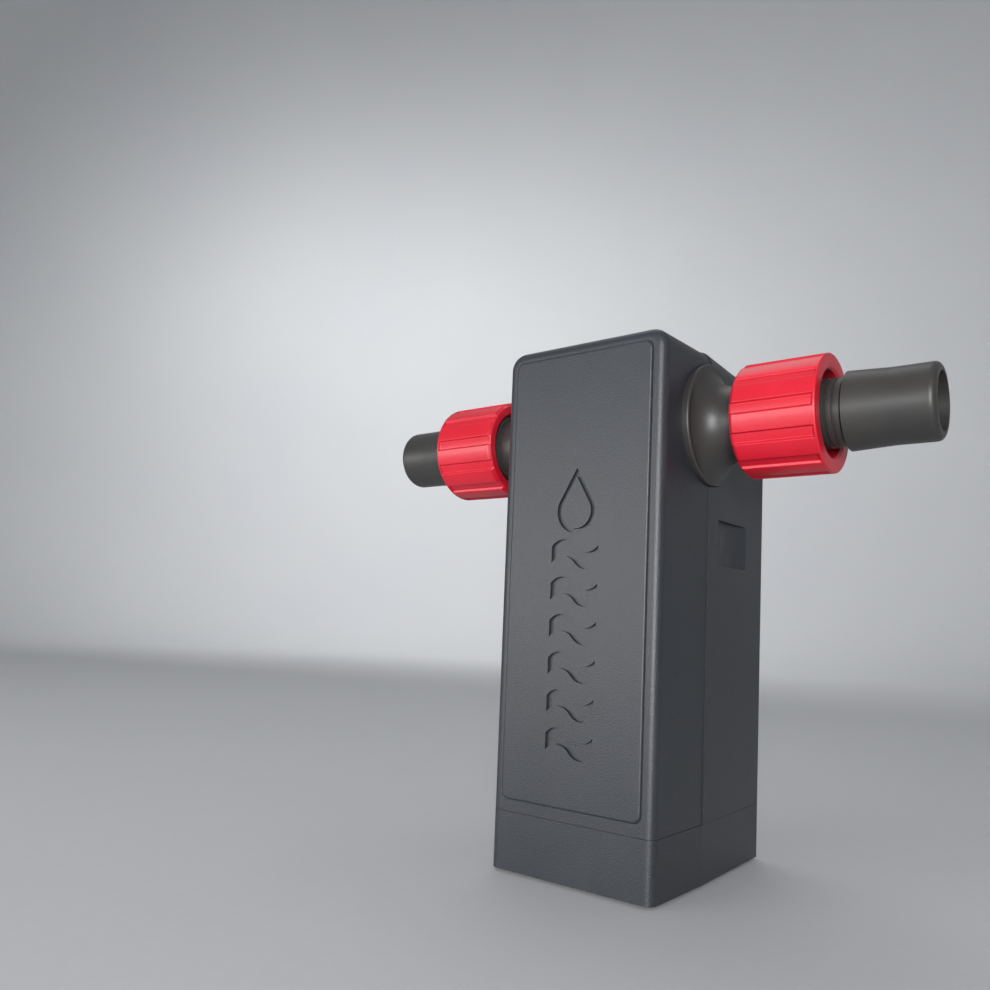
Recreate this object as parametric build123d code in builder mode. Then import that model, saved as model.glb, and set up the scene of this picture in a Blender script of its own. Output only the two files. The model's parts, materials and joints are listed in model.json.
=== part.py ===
"""In-line ultraviolet water clarifier: a tall moulded housing with a hose nozzle and a ribbed red lock
nut on each side, standing on a service base that carries the lamp and its driver board.

Millimetres. X runs along the two nozzles, outlet at +X. Y runs from the front face to the wall side.
Z is up. The origin is at the middle of the footprint, on the surface that the feet stand on.
"""

import math
import os

from build123d import *

os.makedirs("parts", exist_ok=True)

# ---------------------------------------------------------------- driving dimensions
overall_length = 160.0  # nozzle tip to nozzle tip
overall_depth = 65.0  # front panel to wall side
overall_height = 140.0  # feet to the crown of the housing

# housing: two drafted half shells that meet at the plane of the nozzle axis
seam_width = 50.0  # widest, at the seam, on the rear housing
front_width = 47.6
rear_width = 49.4
front_reach = 25.5  # front panel to seam
front_drop = 0.3  # how far the top falls from seam to front
rear_drop = 1.9  # how far the top falls from seam to rear
shell_wall = 2.4
seam_step = 0.25  # the front cover stands this far inside the rear housing
crown_radius = 4.6  # rounding of the two long top edges
front_radius = 2.5  # rounding round the front face
rear_radius = 1.3  # rounding round the rear face
panel_inset = 3.2
panel_height = 0.7
panel_rounding = 0.65
panel_radius = 2.2
running_gap = 0.1  # between pieces that are assembled together

# service base
foot_height = 0.8
base_height = 16.0  # top of the base rim, where the shells start
base_wall = 4.3
base_floor = 4.2
lip_height = 3.4
lip_wall = 1.6
gasket_thickness = 0.5
foot_radius = 4.0

# ports
port_drop = 21.0  # crown of the housing down to the nozzle axis
flange_radius = 16.0
flange_rise = 0.4  # the flange is set above the nozzle axis, which keys it against turning
flange_back = 24.0
flange_face = 26.0
flange_rounding = 0.6
neck_radius = 9.65
flare_rise = 4.8  # how far the flare's foot on the flange stands off the neck
flare_reach = 7.0
neck_taper = 2.0  # length of the cone from the neck down to the rings
tip_radius = 9.0
shoulder_radius = 9.55
shoulder_place = 60.0  # the hose tube starts here, widest
shoulder_taper = 10.0  # length over which it narrows to the tip radius
tip_rounding = 1.5
barb_count = 7
barb_pitch = 1.8
barb_vee = 0.3
barb_low = 8.1
barb_high = 8.45
nozzle_bore = 6.9
spigot_radius = 8.8
spigot_end = 15.6
collar_radius = 11.8
collar_back = 20.1
collar_front = 22.2
seal_groove = (17.4, 18.8)
seal_groove_radius = 7.85

# lock nut and its thread
nut_length = 20.9
nut_radius = 14.5
nut_bore = 10.6
nut_seat = 35.3  # inner end of a tightened nut, from the middle of the housing
lobe_count = 12
groove_angle = 11.0
groove_depth = 0.65
groove_rim = 0.7
groove_phase = 1.8  # degrees from the front to the first groove
nut_mouth_chamfer = 1.0
thread_pitch = 3.0
thread_height = 0.68
thread_start = 38.6
thread_turns = 2.25
thread_root_width = 1.5
thread_crest_width = 0.8
thread_sink = 0.25
nut_thread_turns = 2.0
nut_thread_height = 0.6
inlet_turns_open = 1.0  # the inlet nut rests one turn open
ring_outer = 12.35
ring_inner = 10.8
ring_length = 4.8
ring_offset = 11.7
ring_gap = 28.0  # degrees
ring_play = 0.2

# water chamber, sleeve and lamp
chamber_radius = 17.0
chamber_wall = 2.0
chamber_top = 133.5
chamber_foot = 31.2
chamber_gasket = 0.6
end_flange_side = 39.0
end_flange_corner = 8.0
end_flange_thick = 3.0
end_screw_offset = 14.8
sleeve_radius = 11.0
sleeve_wall = 1.4
sleeve_top = 128.0
sleeve_foot = 18.5
baffle_thick = 1.6
baffle_foot = 42.0
holder_neck_radius = 15.0
holder_neck_foot = 21.0
gland_foot = 16.8
gland_floor = 1.6
gland_top = 26.6
gland_radius = 17.2
sleeve_seal_minor = 1.2
port_seal_minor = 0.5
lamp_leg_radius = 2.0
lamp_leg_wall = 0.45
lamp_leg_pitch = 9.0
lamp_top = 121.0
socket_radius = 8.4
socket_foot = 17.0
socket_top = 25.0
ferrule_radius = 7.6
ferrule_gap = 0.3
ferrule_height = 8.5
pin_radius = 0.5
pin_length = 4.5
lid_length = 42.0
lid_depth = 24.0
lid_corner = 5.0
lid_thick = 2.2
lid_head_sink = 1.4
lid_gap = 0.3
plug_radius = 11.4
stem_radius = 8.0
lid_screw_x = 17.5

# driver board
board_y = 19.2
board_thick = 1.6
board_width = 31.0
board_foot = 6.0
board_top = 76.0
board_screw_x = 12.5
board_screw_levels = (24.0, 71.0)

# power jack, for a 5.5 mm plug
jack_x = 9.0
jack_z = 9.95
jack_radius = 3.9
jack_bore = 2.75
jack_shoulder = 4.9
jack_pocket = 5.6
jack_nut_flats = 9.3
jack_pocket_depth = 2.2
jack_inner_end = 24.6

# wall bracket and its recess
recess_half = 14.0
recess_low = 40.0
recess_high = 112.0
recess_depth = 3.8
bracket_travel = 12.0
bracket_screw_span = 36.0
bracket_hole = 2.25
tab_reach = 2.4
tab_height = 8.0
lip_cover = 1.1

# screws
screw_radius = 1.2
screw_clear = 0.05
pilot_clear = 0.25

# ---------------------------------------------------------------- derived places
tip_end = overall_length / 2
front_y = -overall_depth / 2
rear_y = overall_depth / 2
seam_y = front_y + front_reach
border_y = front_y + panel_height  # the front face that the raised panel stands on
port_z = overall_height - port_drop
recess_floor_y = rear_y - recess_depth
cover_half = seam_width / 2 - seam_step
sleeve_inner = sleeve_radius - sleeve_wall
chamber_inner = chamber_radius - chamber_wall
lamp_axis = (0, seam_y)
base_inner_floor = foot_height + base_floor


def export(part, name):
    """Label a finished piece and write its STEP file."""
    part.label = name
    export_step(part, f"parts/{name}.step")


def side_plane(y):
    """A sketch plane across the housing at depth y, with local x along X and local y along Z."""
    return Plane.XZ.offset(-y)


def port_profile_plane(side):
    """A sketch plane through a nozzle axis: local x is the distance out, local y is the radius."""
    return Plane(origin=(0, seam_y, port_z), x_dir=(side, 0, 0), z_dir=(0, -side, 0))


def port_cross_plane(side, out):
    """A sketch plane across a nozzle axis at a distance out, with local x pointing up."""
    return Plane(origin=(side * out, seam_y, port_z), x_dir=(0, 0, 1), z_dir=(side, 0, 0))


def port_axis(side):
    return Axis((0, seam_y, port_z), (side, 0, 0))


def lathe(points, plane, axis):
    """Revolve a closed outline of (distance, radius) points about an axis, as a private part."""
    with BuildPart() as turned:
        with BuildSketch(plane):
            with BuildLine():
                Polyline(*points, close=True)
            make_face()
        revolve(axis=axis)
    return turned.part


# ---------------------------------------------------------------- housing shells
crown_z = overall_height
front_top = crown_z - front_drop
rear_top = crown_z - rear_drop


def shell_block(y_seam, half_seam, top_seam, y_end, half_end, top_end, low, corner):
    """A drafted block between the seam and one end, with its two long top edges rounded."""
    with BuildPart() as block:
        for y, half, top in ((y_seam, half_seam, top_seam), (y_end, half_end, top_end)):
            with BuildSketch(side_plane(y)):
                with Locations((0, low)):
                    Rectangle(2 * half, top - low, align=(Align.CENTER, Align.MIN))
        loft()
        long_edges = block.edges().filter_by(lambda e: abs((e % 0.5).Y) > 0.9)
        fillet(long_edges.group_by(Axis.Z)[-1], corner)
    return block.part


def cavity(y_seam, half_seam, top_seam, y_end, half_end, top_end):
    """The hollow of a shell: the block drawn in by the wall and open at the seam and below."""
    overrun = 1.0
    slope = (half_seam - half_end) / (y_seam - y_end)
    rise = (top_seam - top_end) / (y_seam - y_end)
    reach = overrun if y_seam > y_end else -overrun
    return shell_block(
        y_seam + reach,
        half_seam + slope * reach - shell_wall,
        top_seam + rise * reach - shell_wall,
        y_end + math.copysign(shell_wall, y_seam - y_end),
        half_end - shell_wall,
        top_end - shell_wall,
        base_height - 5,
        crown_radius - shell_wall,
    )


cover_seam = (seam_y - running_gap / 2, cover_half, crown_z - seam_step)
cover_front = (border_y, front_width / 2, front_top)
rear_seam = (seam_y + running_gap / 2, seam_width / 2, crown_z)
rear_end = (rear_y, rear_width / 2, rear_top)

# screw posts: they stand in the shell walls, clear of the water chamber
post_x = 20.0
post_radius = 2.5
post_wide = 3.4
post_levels = (40.0, 80.0, 134.0)
post_neck_y = 6.0
tunnel_radius = 2.4
head_radius = 2.2
head_thick = 1.8
cover_post_depth = 13.0
base_post_places = [(-19.3, -27.3), (19.3, -27.3), (-19.8, 27.9), (19.8, 27.9)]
base_post_top = 27.0
base_post_radius = 2.7
board_screw_places = [(side * board_screw_x, z) for side in (-1, 1) for z in board_screw_levels]
board_screw_length = 5.0
board_boss_radius = 2.4
base_head_radius = 2.5


def port_openings():
    """Neck hole, collar pocket and eccentric flange seat of both nozzles, to subtract from a shell."""
    with BuildPart() as holes:
        for side in (-1, 1):
            with BuildSketch(port_cross_plane(side, 19.0)):
                Circle(neck_radius + 0.2)
            extrude(amount=10)
            with BuildSketch(port_cross_plane(side, 19.0)):
                Circle(collar_radius + 0.2)
            extrude(amount=collar_front + 0.15 - 19.0)
            with BuildSketch(port_cross_plane(side, flange_back - running_gap)):
                with Locations((flange_rise, 0)):
                    Circle(flange_radius + 0.15)
            extrude(amount=5)
    return holes.part


def base_posts(front):
    """The bosses over the base screws, for the front or the rear shell."""
    with BuildPart() as posts:
        with BuildSketch(Plane.XY.offset(base_height + running_gap)):
            with Locations(*[p for p in base_post_places if (p[1] < 0) == front]):
                Circle(base_post_radius)
        extrude(amount=base_post_top - base_height)
    return posts.part


def base_pilots():
    with BuildPart() as pilots:
        with BuildSketch(Plane.XY.offset(base_height)):
            with Locations(*base_post_places):
                Circle(screw_radius + screw_clear)
        extrude(amount=base_post_top - base_height - 1)
    return pilots.part


# engraved front mark: a drop over a column of wave bars
mark_depth = 0.9
wave_count = 6
wave_pitch = 9.6
wave_length = 14.0
wave_height = 1.7
wave_width = 4.3
mark_top_z = port_z - 13.0
drop_radius = 5.6
drop_line = 1.1


def wave_bar(level):
    """One engraved bar: a full wave made of two arcs above and two below, as a closed outline."""
    half, rise, thick = wave_length / 2, wave_height, wave_width
    with BuildLine() as bar:
        upper_left = ThreePointArc((-half, level), (-half / 2, level + rise), (0, level))
        upper_right = ThreePointArc(upper_left @ 1, (half / 2, level - rise), (half, level))
        right_end = Line(upper_right @ 1, (half, level - thick))
        lower_right = ThreePointArc(right_end @ 1, (half / 2, level - rise - thick), (0, level - thick))
        lower_left = ThreePointArc(lower_right @ 1, (-half / 2, level + rise - thick), (-half, level - thick))
        Line(lower_left @ 1, upper_left @ 0)
    return bar.edges()


def drop_outline(radius, centre):
    """A water drop: a circle's lower part closed by two lines to a point above it."""
    tip = 2.0 * radius
    angle = math.degrees(math.acos(radius / tip))
    with BuildLine() as drop:
        body = CenterArc((0, centre), radius, 90 + angle, 360 - 2 * angle)
        Polyline(body @ 1, (0, centre + tip), body @ 0)
    return drop.edges()


def front_mark():
    """The engraving as one cutter that reaches mark_depth into the raised panel."""
    drop_centre = mark_top_z - 2 * drop_radius
    with BuildPart() as mark:
        with BuildSketch(side_plane(front_y - 0.2)):
            make_face(drop_outline(drop_radius, drop_centre))
            make_face(drop_outline(drop_radius - drop_line, drop_centre), mode=Mode.SUBTRACT)
            for bar in range(wave_count):
                make_face(wave_bar(mark_top_z - 3.6 * drop_radius - bar * wave_pitch))
        extrude(amount=-(mark_depth + 0.2))
    return mark.part


with BuildPart() as front_cover:
    add(shell_block(*cover_seam, *cover_front, base_height + running_gap, crown_radius))
    rim = front_cover.faces().filter_by(Axis.Y).sort_by(Axis.Y)[0].edges()
    fillet([e for e in rim if e.center().Z > base_height + 1], front_radius)
    with BuildSketch(side_plane(border_y + 0.5)):
        panel_low = base_height + panel_inset
        panel_top = front_top - panel_inset
        with Locations((0, panel_low)):
            RectangleRounded(
                front_width - 2 * panel_inset,
                panel_top - panel_low,
                panel_radius,
                align=(Align.CENTER, Align.MIN),
            )
    extrude(amount=0.5 + panel_height)
    panel_face = front_cover.faces().filter_by(Axis.Y).sort_by(Axis.Y)[0]
    fillet(panel_face.edges(), panel_rounding)
    add(front_mark(), mode=Mode.SUBTRACT)
    add(cavity(*cover_seam, *cover_front), mode=Mode.SUBTRACT)
    with BuildSketch(side_plane(seam_y - running_gap / 2)):
        with Locations(*[(side * post_x, z) for side in (-1, 1) for z in post_levels]):
            Circle(post_radius)
    extrude(amount=cover_post_depth)
    add(base_posts(True))
    # cradle ribs that steady the water chamber
    with BuildSketch(Plane.XY.offset(58), Plane.XY.offset(98)):
        with Locations((0, (seam_y - 12 + front_y + 1) / 2)):
            Rectangle(2 * post_x, seam_y - 12 - front_y - 1)
        with Locations(lamp_axis):
            Circle(chamber_radius + 0.25, mode=Mode.SUBTRACT)
    extrude(amount=2)
    add(port_openings(), mode=Mode.SUBTRACT)
    add(base_pilots(), mode=Mode.SUBTRACT)
    with BuildSketch(side_plane(seam_y)):
        with Locations(*[(side * post_x, z) for side in (-1, 1) for z in post_levels]):
            Circle(screw_radius + screw_clear)
    extrude(amount=cover_post_depth - 1.5, mode=Mode.SUBTRACT)
export(front_cover.part, "front_cover")

grip_centre_y = 9.0
grip_sweep = 30.0
grip_depth = 1.8
grip_pad = 1.6  # extra wall behind the scoop
grip_low = 83.0
grip_high = 95.2

with BuildPart() as rear_housing:
    add(shell_block(*rear_seam, *rear_end, base_height + running_gap, crown_radius))
    rim = rear_housing.faces().filter_by(Axis.Y).sort_by(Axis.Y)[-1].edges()
    fillet([e for e in rim if e.center().Z > base_height + 1], rear_radius)
    add(cavity(*rear_seam, *rear_end), mode=Mode.SUBTRACT)
    # wall behind the bracket recess
    with BuildSketch(side_plane(rear_y - shell_wall + 0.2)):
        with Locations((0, (recess_low + recess_high) / 2)):
            Rectangle(2 * (recess_half + 4.4), recess_high - recess_low + 4)
    extrude(amount=recess_depth + 0.4)
    # long screw posts, wide round the driver tunnel and slim beside the chamber
    with BuildSketch(side_plane(rear_y - 1)):
        with Locations(*[(side * post_x, z) for side in (-1, 1) for z in post_levels]):
            Circle(post_wide)
    extrude(amount=rear_y - 1 - post_neck_y)
    with BuildSketch(side_plane(post_neck_y)):
        with Locations(*[(side * post_x, z) for side in (-1, 1) for z in post_levels]):
            Circle(post_radius)
    extrude(amount=post_neck_y - seam_y - running_gap / 2)
    # pads behind the finger grips
    for side in (-1, 1):
        with BuildSketch(Plane.YZ.offset(side * (seam_width / 2 - shell_wall / 2))):
            with Locations((grip_centre_y, (grip_low + grip_high) / 2)):
                Rectangle(26, grip_high - grip_low + 3)
        extrude(amount=-side * (shell_wall / 2 + grip_pad))
    add(base_posts(False))
    # bosses that carry the driver board
    with BuildSketch(side_plane(rear_y - 1)):
        with Locations(*board_screw_places):
            Circle(board_boss_radius)
    extrude(amount=rear_y - 1 - board_y - board_thick)
    # bracket recess, with four lips that hook over the bracket's tabs
    with BuildSketch(side_plane(rear_y + 0.5)):
        with Locations((0, (recess_low + recess_high) / 2)):
            RectangleRounded(2 * recess_half, recess_high - recess_low, 2.0)
    extrude(amount=recess_depth + 0.5, mode=Mode.SUBTRACT)
    tab_levels = (recess_high - 4 - tab_height / 2, recess_high - 44 - tab_height / 2)
    for level in tab_levels:
        with BuildSketch(side_plane(rear_y - lip_cover)):
            for side in (-1, 1):
                with Locations((side * (recess_half + tab_reach / 2 - 0.5), level - bracket_travel / 2)):
                    Rectangle(tab_reach + 1, tab_height + bracket_travel + 0.6)
        extrude(amount=recess_depth - lip_cover, mode=Mode.SUBTRACT)
        with BuildSketch(side_plane(rear_y + 0.5)):
            for side in (-1, 1):
                with Locations((side * (recess_half + tab_reach / 2 - 0.5), level - bracket_travel)):
                    Rectangle(tab_reach + 1, tab_height + 0.8)
        extrude(amount=recess_depth + 0.5, mode=Mode.SUBTRACT)
    # finger grips, one shallow scoop in each side
    for side in (-1, 1):
        with BuildSketch(Plane.XY.offset(grip_low)):
            with Locations((side * (seam_width / 2 - grip_depth + grip_sweep), grip_centre_y)):
                Circle(grip_sweep)
        extrude(amount=grip_high - grip_low, mode=Mode.SUBTRACT)
    add(port_openings(), mode=Mode.SUBTRACT)
    add(base_pilots(), mode=Mode.SUBTRACT)
    with BuildSketch(side_plane(board_y)):
        with Locations(*board_screw_places):
            Circle(screw_radius + screw_clear)
    extrude(amount=-(board_thick + board_screw_length), mode=Mode.SUBTRACT)
    with BuildSketch(side_plane(rear_y + 1)):
        with Locations(*[(side * post_x, z) for side in (-1, 1) for z in post_levels]):
            Circle(tunnel_radius)
    extrude(amount=rear_y + 1 - post_neck_y - 2, mode=Mode.SUBTRACT)
    with BuildSketch(side_plane(rear_y)):
        with Locations(*[(side * post_x, z) for side in (-1, 1) for z in post_levels]):
            Circle(screw_radius + pilot_clear)
    extrude(amount=overall_depth, mode=Mode.SUBTRACT)
export(rear_housing.part, "rear_housing")


def screws(plane, places, length, head):
    """Pan-head screws as separate solids: the plane's normal points from the heads to the tips."""
    with BuildPart() as group:
        with BuildSketch(plane):
            with Locations(*places):
                Circle(head)
        extrude(amount=-head_thick)
        with BuildSketch(plane):
            with Locations(*places):
                Circle(screw_radius)
        extrude(amount=length)
        with BuildSketch(plane.offset(-head_thick)):
            with Locations(*places):
                Rectangle(head * 1.2, 0.5)
                Rectangle(0.5, head * 1.2)
        extrude(amount=head_thick * 0.6, mode=Mode.SUBTRACT)
    return group.part


with BuildPart() as shell_screws:
    shell_screw_places = [(side * post_x, z) for side in (-1, 1) for z in post_levels]
    add(screws(side_plane(post_neck_y + 2), shell_screw_places, 25, head_radius))
export(shell_screws.part, "shell_screws")


# ---------------------------------------------------------------- service base
def plan_corners(inset):
    """The footprint as six corner points, drawn in by an inset."""
    front, seam, rear = front_width / 2, (seam_width - seam_step) / 2, rear_width / 2
    right = [
        (front - inset, border_y + inset),
        (seam - inset, seam_y),
        (rear - inset, rear_y - inset),
    ]
    return right + [(-x, y) for x, y in reversed(right)]


def plan_face(inset):
    """The footprint drawn in by an inset, with its four outer corners rounded."""
    with BuildSketch() as plan:
        Polygon(*plan_corners(inset), align=None)
        fillet(plan.vertices().group_by(Axis.Y)[0], max(front_radius - inset, 0.6))
        fillet(plan.vertices().group_by(Axis.Y)[-1], max(rear_radius - inset, 0.6))
    return plan.sketch


base_head_plane = Plane.XY.offset(4.4)
base_screw_length = 18.0
lid_screw_plane = Plane.XY.offset(foot_height + lid_gap + lid_head_sink)
lid_screw_places = [(-lid_screw_x, seam_y), (lid_screw_x, seam_y)]
lid_screw_length = 7.0
lid_boss_radius = 2.9
lid_boss_top = 11.0
foot_places = [(-10.0, -26.0), (10.0, -26.0), (-10.0, 26.0), (10.0, 26.0)]
foot_recess = 0.7
lip_inset = shell_wall + 0.15
gasket_inset = 0.6
gasket_width = 1.2

with BuildPart() as service_base:
    with BuildSketch(Plane.XY.offset(foot_height)):
        add(plan_face(0))
    extrude(amount=base_height - foot_height)
    with BuildSketch(Plane.XY.offset(base_inner_floor)):
        add(plan_face(base_wall))
        with Locations(*base_post_places):
            Circle(base_post_radius + 0.6, mode=Mode.SUBTRACT)
    extrude(amount=base_height, mode=Mode.SUBTRACT)
    # lip that locates the shells
    with BuildSketch(Plane.XY.offset(base_height - 1)):
        add(plan_face(lip_inset))
        add(plan_face(lip_inset + lip_wall), mode=Mode.SUBTRACT)
        with Locations(*base_post_places):
            Circle(base_post_radius + 0.3, mode=Mode.SUBTRACT)
    extrude(amount=1 + lip_height)
    # groove for the rim gasket
    with BuildSketch(Plane.XY.offset(base_height - gasket_thickness + running_gap)):
        add(plan_face(gasket_inset))
        add(plan_face(gasket_inset + gasket_width), mode=Mode.SUBTRACT)
    extrude(amount=gasket_thickness, mode=Mode.SUBTRACT)
    # bosses for the two lid screws
    with BuildSketch(Plane.XY.offset(base_inner_floor - 0.5)):
        with Locations(*lid_screw_places):
            Circle(lid_boss_radius)
    extrude(amount=lid_boss_top - base_inner_floor + 0.5)
    # lamp opening and the recess for its lid
    with BuildSketch(Plane.XY):
        with Locations((0, seam_y)):
            RectangleRounded(lid_length + 2 * lid_gap, lid_depth + 2 * lid_gap, lid_corner + lid_gap)
    extrude(amount=foot_height + 2 * lid_gap + lid_thick, mode=Mode.SUBTRACT)
    with BuildSketch(Plane.XY):
        with Locations((0, seam_y)):
            Circle(plug_radius + 0.3)
    extrude(amount=base_height, mode=Mode.SUBTRACT)
    with BuildSketch(lid_screw_plane):
        with Locations(*lid_screw_places):
            Circle(screw_radius + 0.3)
    extrude(amount=lid_screw_length + 0.6, mode=Mode.SUBTRACT)
    # screw holes into the shells
    with BuildSketch(Plane.XY):
        with Locations(*base_post_places):
            Circle(base_head_radius + 0.2)
    extrude(amount=4.4, mode=Mode.SUBTRACT)
    with BuildSketch(Plane.XY):
        with Locations(*base_post_places):
            Circle(screw_radius + pilot_clear)
    extrude(amount=base_height + 5, mode=Mode.SUBTRACT)
    # seats for the rubber feet
    with BuildSketch(Plane.XY):
        with Locations(*foot_places):
            Circle(foot_radius)
    extrude(amount=foot_height + foot_recess, mode=Mode.SUBTRACT)
    # jack hole and the pocket for its nut
    with BuildSketch(side_plane(rear_y + 1)):
        with Locations((jack_x, jack_z)):
            Circle(jack_radius + 0.1)
    extrude(amount=base_wall + 2, mode=Mode.SUBTRACT)
    with BuildSketch(side_plane(rear_y + 1)):
        with Locations((jack_x, jack_z)):
            Circle(jack_pocket)
    extrude(amount=1 + jack_pocket_depth, mode=Mode.SUBTRACT)
export(service_base.part, "service_base")

with BuildPart() as base_gasket:
    with BuildSketch(Plane.XY.offset(base_height - gasket_thickness + running_gap)):
        add(plan_face(gasket_inset))
        add(plan_face(gasket_inset + gasket_width), mode=Mode.SUBTRACT)
    extrude(amount=gasket_thickness)
export(base_gasket.part, "base_gasket")

with BuildPart() as base_screws:
    add(screws(base_head_plane, base_post_places, base_screw_length, base_head_radius))
export(base_screws.part, "base_screws")

with BuildPart() as rubber_feet:
    with BuildSketch(Plane.XY):
        with Locations(*foot_places):
            Circle(foot_radius)
    extrude(amount=foot_height + foot_recess)
    fillet(rubber_feet.edges().group_by(Axis.Z)[0], 0.4)
export(rubber_feet.part, "rubber_feet")


# ---------------------------------------------------------------- water chamber
def ring(outer, inner, foot, top):
    """A plain upright ring about the lamp axis."""
    with BuildPart() as tube:
        with BuildSketch(Plane.XY.offset(foot)):
            with Locations(lamp_axis):
                Circle(outer)
                Circle(inner, mode=Mode.SUBTRACT)
        extrude(amount=top - foot)
    return tube.part


def end_flange(foot, thick, bore):
    """A square flange with rounded corners about the lamp axis, with a round bore."""
    with BuildPart() as flange:
        with BuildSketch(Plane.XY.offset(foot)):
            with Locations(lamp_axis):
                RectangleRounded(end_flange_side, end_flange_side, end_flange_corner)
                Circle(bore, mode=Mode.SUBTRACT)
        extrude(amount=thick)
    return flange.part


end_screw_places = [
    (x * end_screw_offset, seam_y + y * end_screw_offset) for x in (-1, 1) for y in (-1, 1)
]
end_screw_length = 6.0
holder_foot = chamber_foot - chamber_gasket - end_flange_thick
cap_thick = 2.4
cap_plug = 4.0
fin_top = chamber_top - cap_plug - 0.3
boss_end = collar_back - 0.1

with BuildPart() as water_chamber:
    add(ring(chamber_radius, chamber_inner, chamber_foot, chamber_top))
    add(end_flange(chamber_foot, end_flange_thick, chamber_inner))
    for side in (-1, 1):
        with BuildSketch(port_cross_plane(side, chamber_inner)):
            Circle(collar_radius)
        extrude(amount=boss_end - chamber_inner)
    with BuildSketch(Plane.XY.offset(chamber_foot)):
        with Locations(lamp_axis):
            Circle(chamber_inner)
    extrude(amount=chamber_top - chamber_foot, mode=Mode.SUBTRACT)
    for side in (-1, 1):
        with BuildSketch(port_cross_plane(side, 5)):
            Circle(spigot_radius + 0.1)
        extrude(amount=boss_end, mode=Mode.SUBTRACT)
    with BuildSketch(Plane.XY.offset(chamber_foot)):
        with Locations(*end_screw_places):
            Circle(screw_radius + screw_clear)
    extrude(amount=end_flange_thick - 0.4, mode=Mode.SUBTRACT)
export(water_chamber.part, "water_chamber")

with BuildPart() as chamber_cap:
    add(ring(chamber_radius, 0.5, chamber_top, chamber_top + cap_thick))
    add(ring(chamber_inner - 0.1, chamber_inner - 1.8, chamber_top - cap_plug, chamber_top + 0.5))
    with BuildSketch(Plane.XY.offset(chamber_top)):
        with Locations(lamp_axis):
            Circle(1)
    extrude(amount=cap_thick)
export(chamber_cap.part, "chamber_cap")

with BuildPart() as flow_baffle:
    for side in (-1, 1):
        with BuildSketch(Plane.XY.offset(baffle_foot)):
            with Locations((0, seam_y + side * (sleeve_radius + chamber_inner) / 2)):
                Rectangle(baffle_thick, chamber_inner - sleeve_radius - 0.5)
        extrude(amount=fin_top - baffle_foot)
    add(ring(sleeve_radius + 1.4, sleeve_radius + 0.2, baffle_foot, baffle_foot + 3))
export(flow_baffle.part, "flow_baffle")

with BuildPart() as sleeve_holder:
    add(end_flange(holder_foot, end_flange_thick, sleeve_radius + 0.15))
    add(ring(holder_neck_radius, sleeve_radius + 0.15, holder_neck_foot, holder_foot + 0.5))
    with BuildSketch(Plane.XY.offset(holder_foot)):
        with Locations(*end_screw_places):
            Circle(screw_radius + pilot_clear)
    extrude(amount=end_flange_thick, mode=Mode.SUBTRACT)
export(sleeve_holder.part, "sleeve_holder")

with BuildPart() as chamber_gasket_ring:
    add(end_flange(chamber_foot - chamber_gasket, chamber_gasket, chamber_inner - 0.5))
    with BuildSketch(Plane.XY.offset(chamber_foot - chamber_gasket)):
        with Locations(*end_screw_places):
            Circle(screw_radius + pilot_clear)
    extrude(amount=chamber_gasket, mode=Mode.SUBTRACT)
export(chamber_gasket_ring.part, "chamber_gasket")

with BuildPart() as chamber_screws:
    add(screws(Plane.XY.offset(holder_foot), end_screw_places, end_screw_length, head_radius))
export(chamber_screws.part, "chamber_screws")

with BuildPart() as quartz_sleeve:
    with BuildSketch(Plane(origin=(0, seam_y, 0), x_dir=(1, 0, 0), z_dir=(0, -1, 0))):
        with BuildLine():
            outer_wall = Line((sleeve_radius, sleeve_foot), (sleeve_radius, sleeve_top - sleeve_radius))
            outer_dome = RadiusArc(outer_wall @ 1, (0, sleeve_top), -sleeve_radius)
            crown = Line(outer_dome @ 1, (0, sleeve_top - sleeve_wall))
            inner_dome = RadiusArc(crown @ 1, (sleeve_inner, sleeve_top - sleeve_radius), sleeve_inner)
            inner_wall = Line(inner_dome @ 1, (sleeve_inner, sleeve_foot))
            Line(inner_wall @ 1, outer_wall @ 0)
        make_face()
    revolve(axis=Axis((0, seam_y, 0), (0, 0, 1)))
export(quartz_sleeve.part, "quartz_sleeve")


def torus_ring(plane, major, minor):
    """A rubber O-ring whose axis is the plane's normal."""
    with BuildPart() as seal:
        with Locations(plane):
            Torus(major, minor)
    return seal.part


with BuildPart() as sleeve_oring:
    seal_plane = Plane.XY.offset(gland_foot + gland_floor + sleeve_seal_minor + 0.15)
    seal_plane = seal_plane.shift_origin((0, seam_y, seal_plane.origin.Z))
    add(torus_ring(seal_plane, sleeve_radius + sleeve_seal_minor + 0.02, sleeve_seal_minor))
export(sleeve_oring.part, "sleeve_oring")

gland_rib_count = 16
gland_rib_depth = 0.8

with BuildPart() as gland_nut:
    add(ring(gland_radius, holder_neck_radius + 0.1, gland_foot, gland_top))
    add(ring(holder_neck_radius + 0.5, sleeve_inner, gland_foot, gland_foot + gland_floor))
    with BuildSketch(Plane.XY.offset(gland_foot)):
        with Locations(lamp_axis):
            with PolarLocations(gland_radius + 0.9, gland_rib_count):
                Circle(gland_rib_depth + 0.9)
    extrude(amount=gland_top - gland_foot, mode=Mode.SUBTRACT)
export(gland_nut.part, "gland_nut")

# ---------------------------------------------------------------- hose ports
nut_thread_offset = thread_start - nut_seat - thread_pitch / 2
port_seal_place = (seal_groove[0] + seal_groove[1]) / 2
flare_radius = (flare_reach**2 + flare_rise**2) / (2 * flare_rise)  # meets the neck without a corner
inlet_seat = nut_seat + inlet_turns_open * thread_pitch


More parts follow.
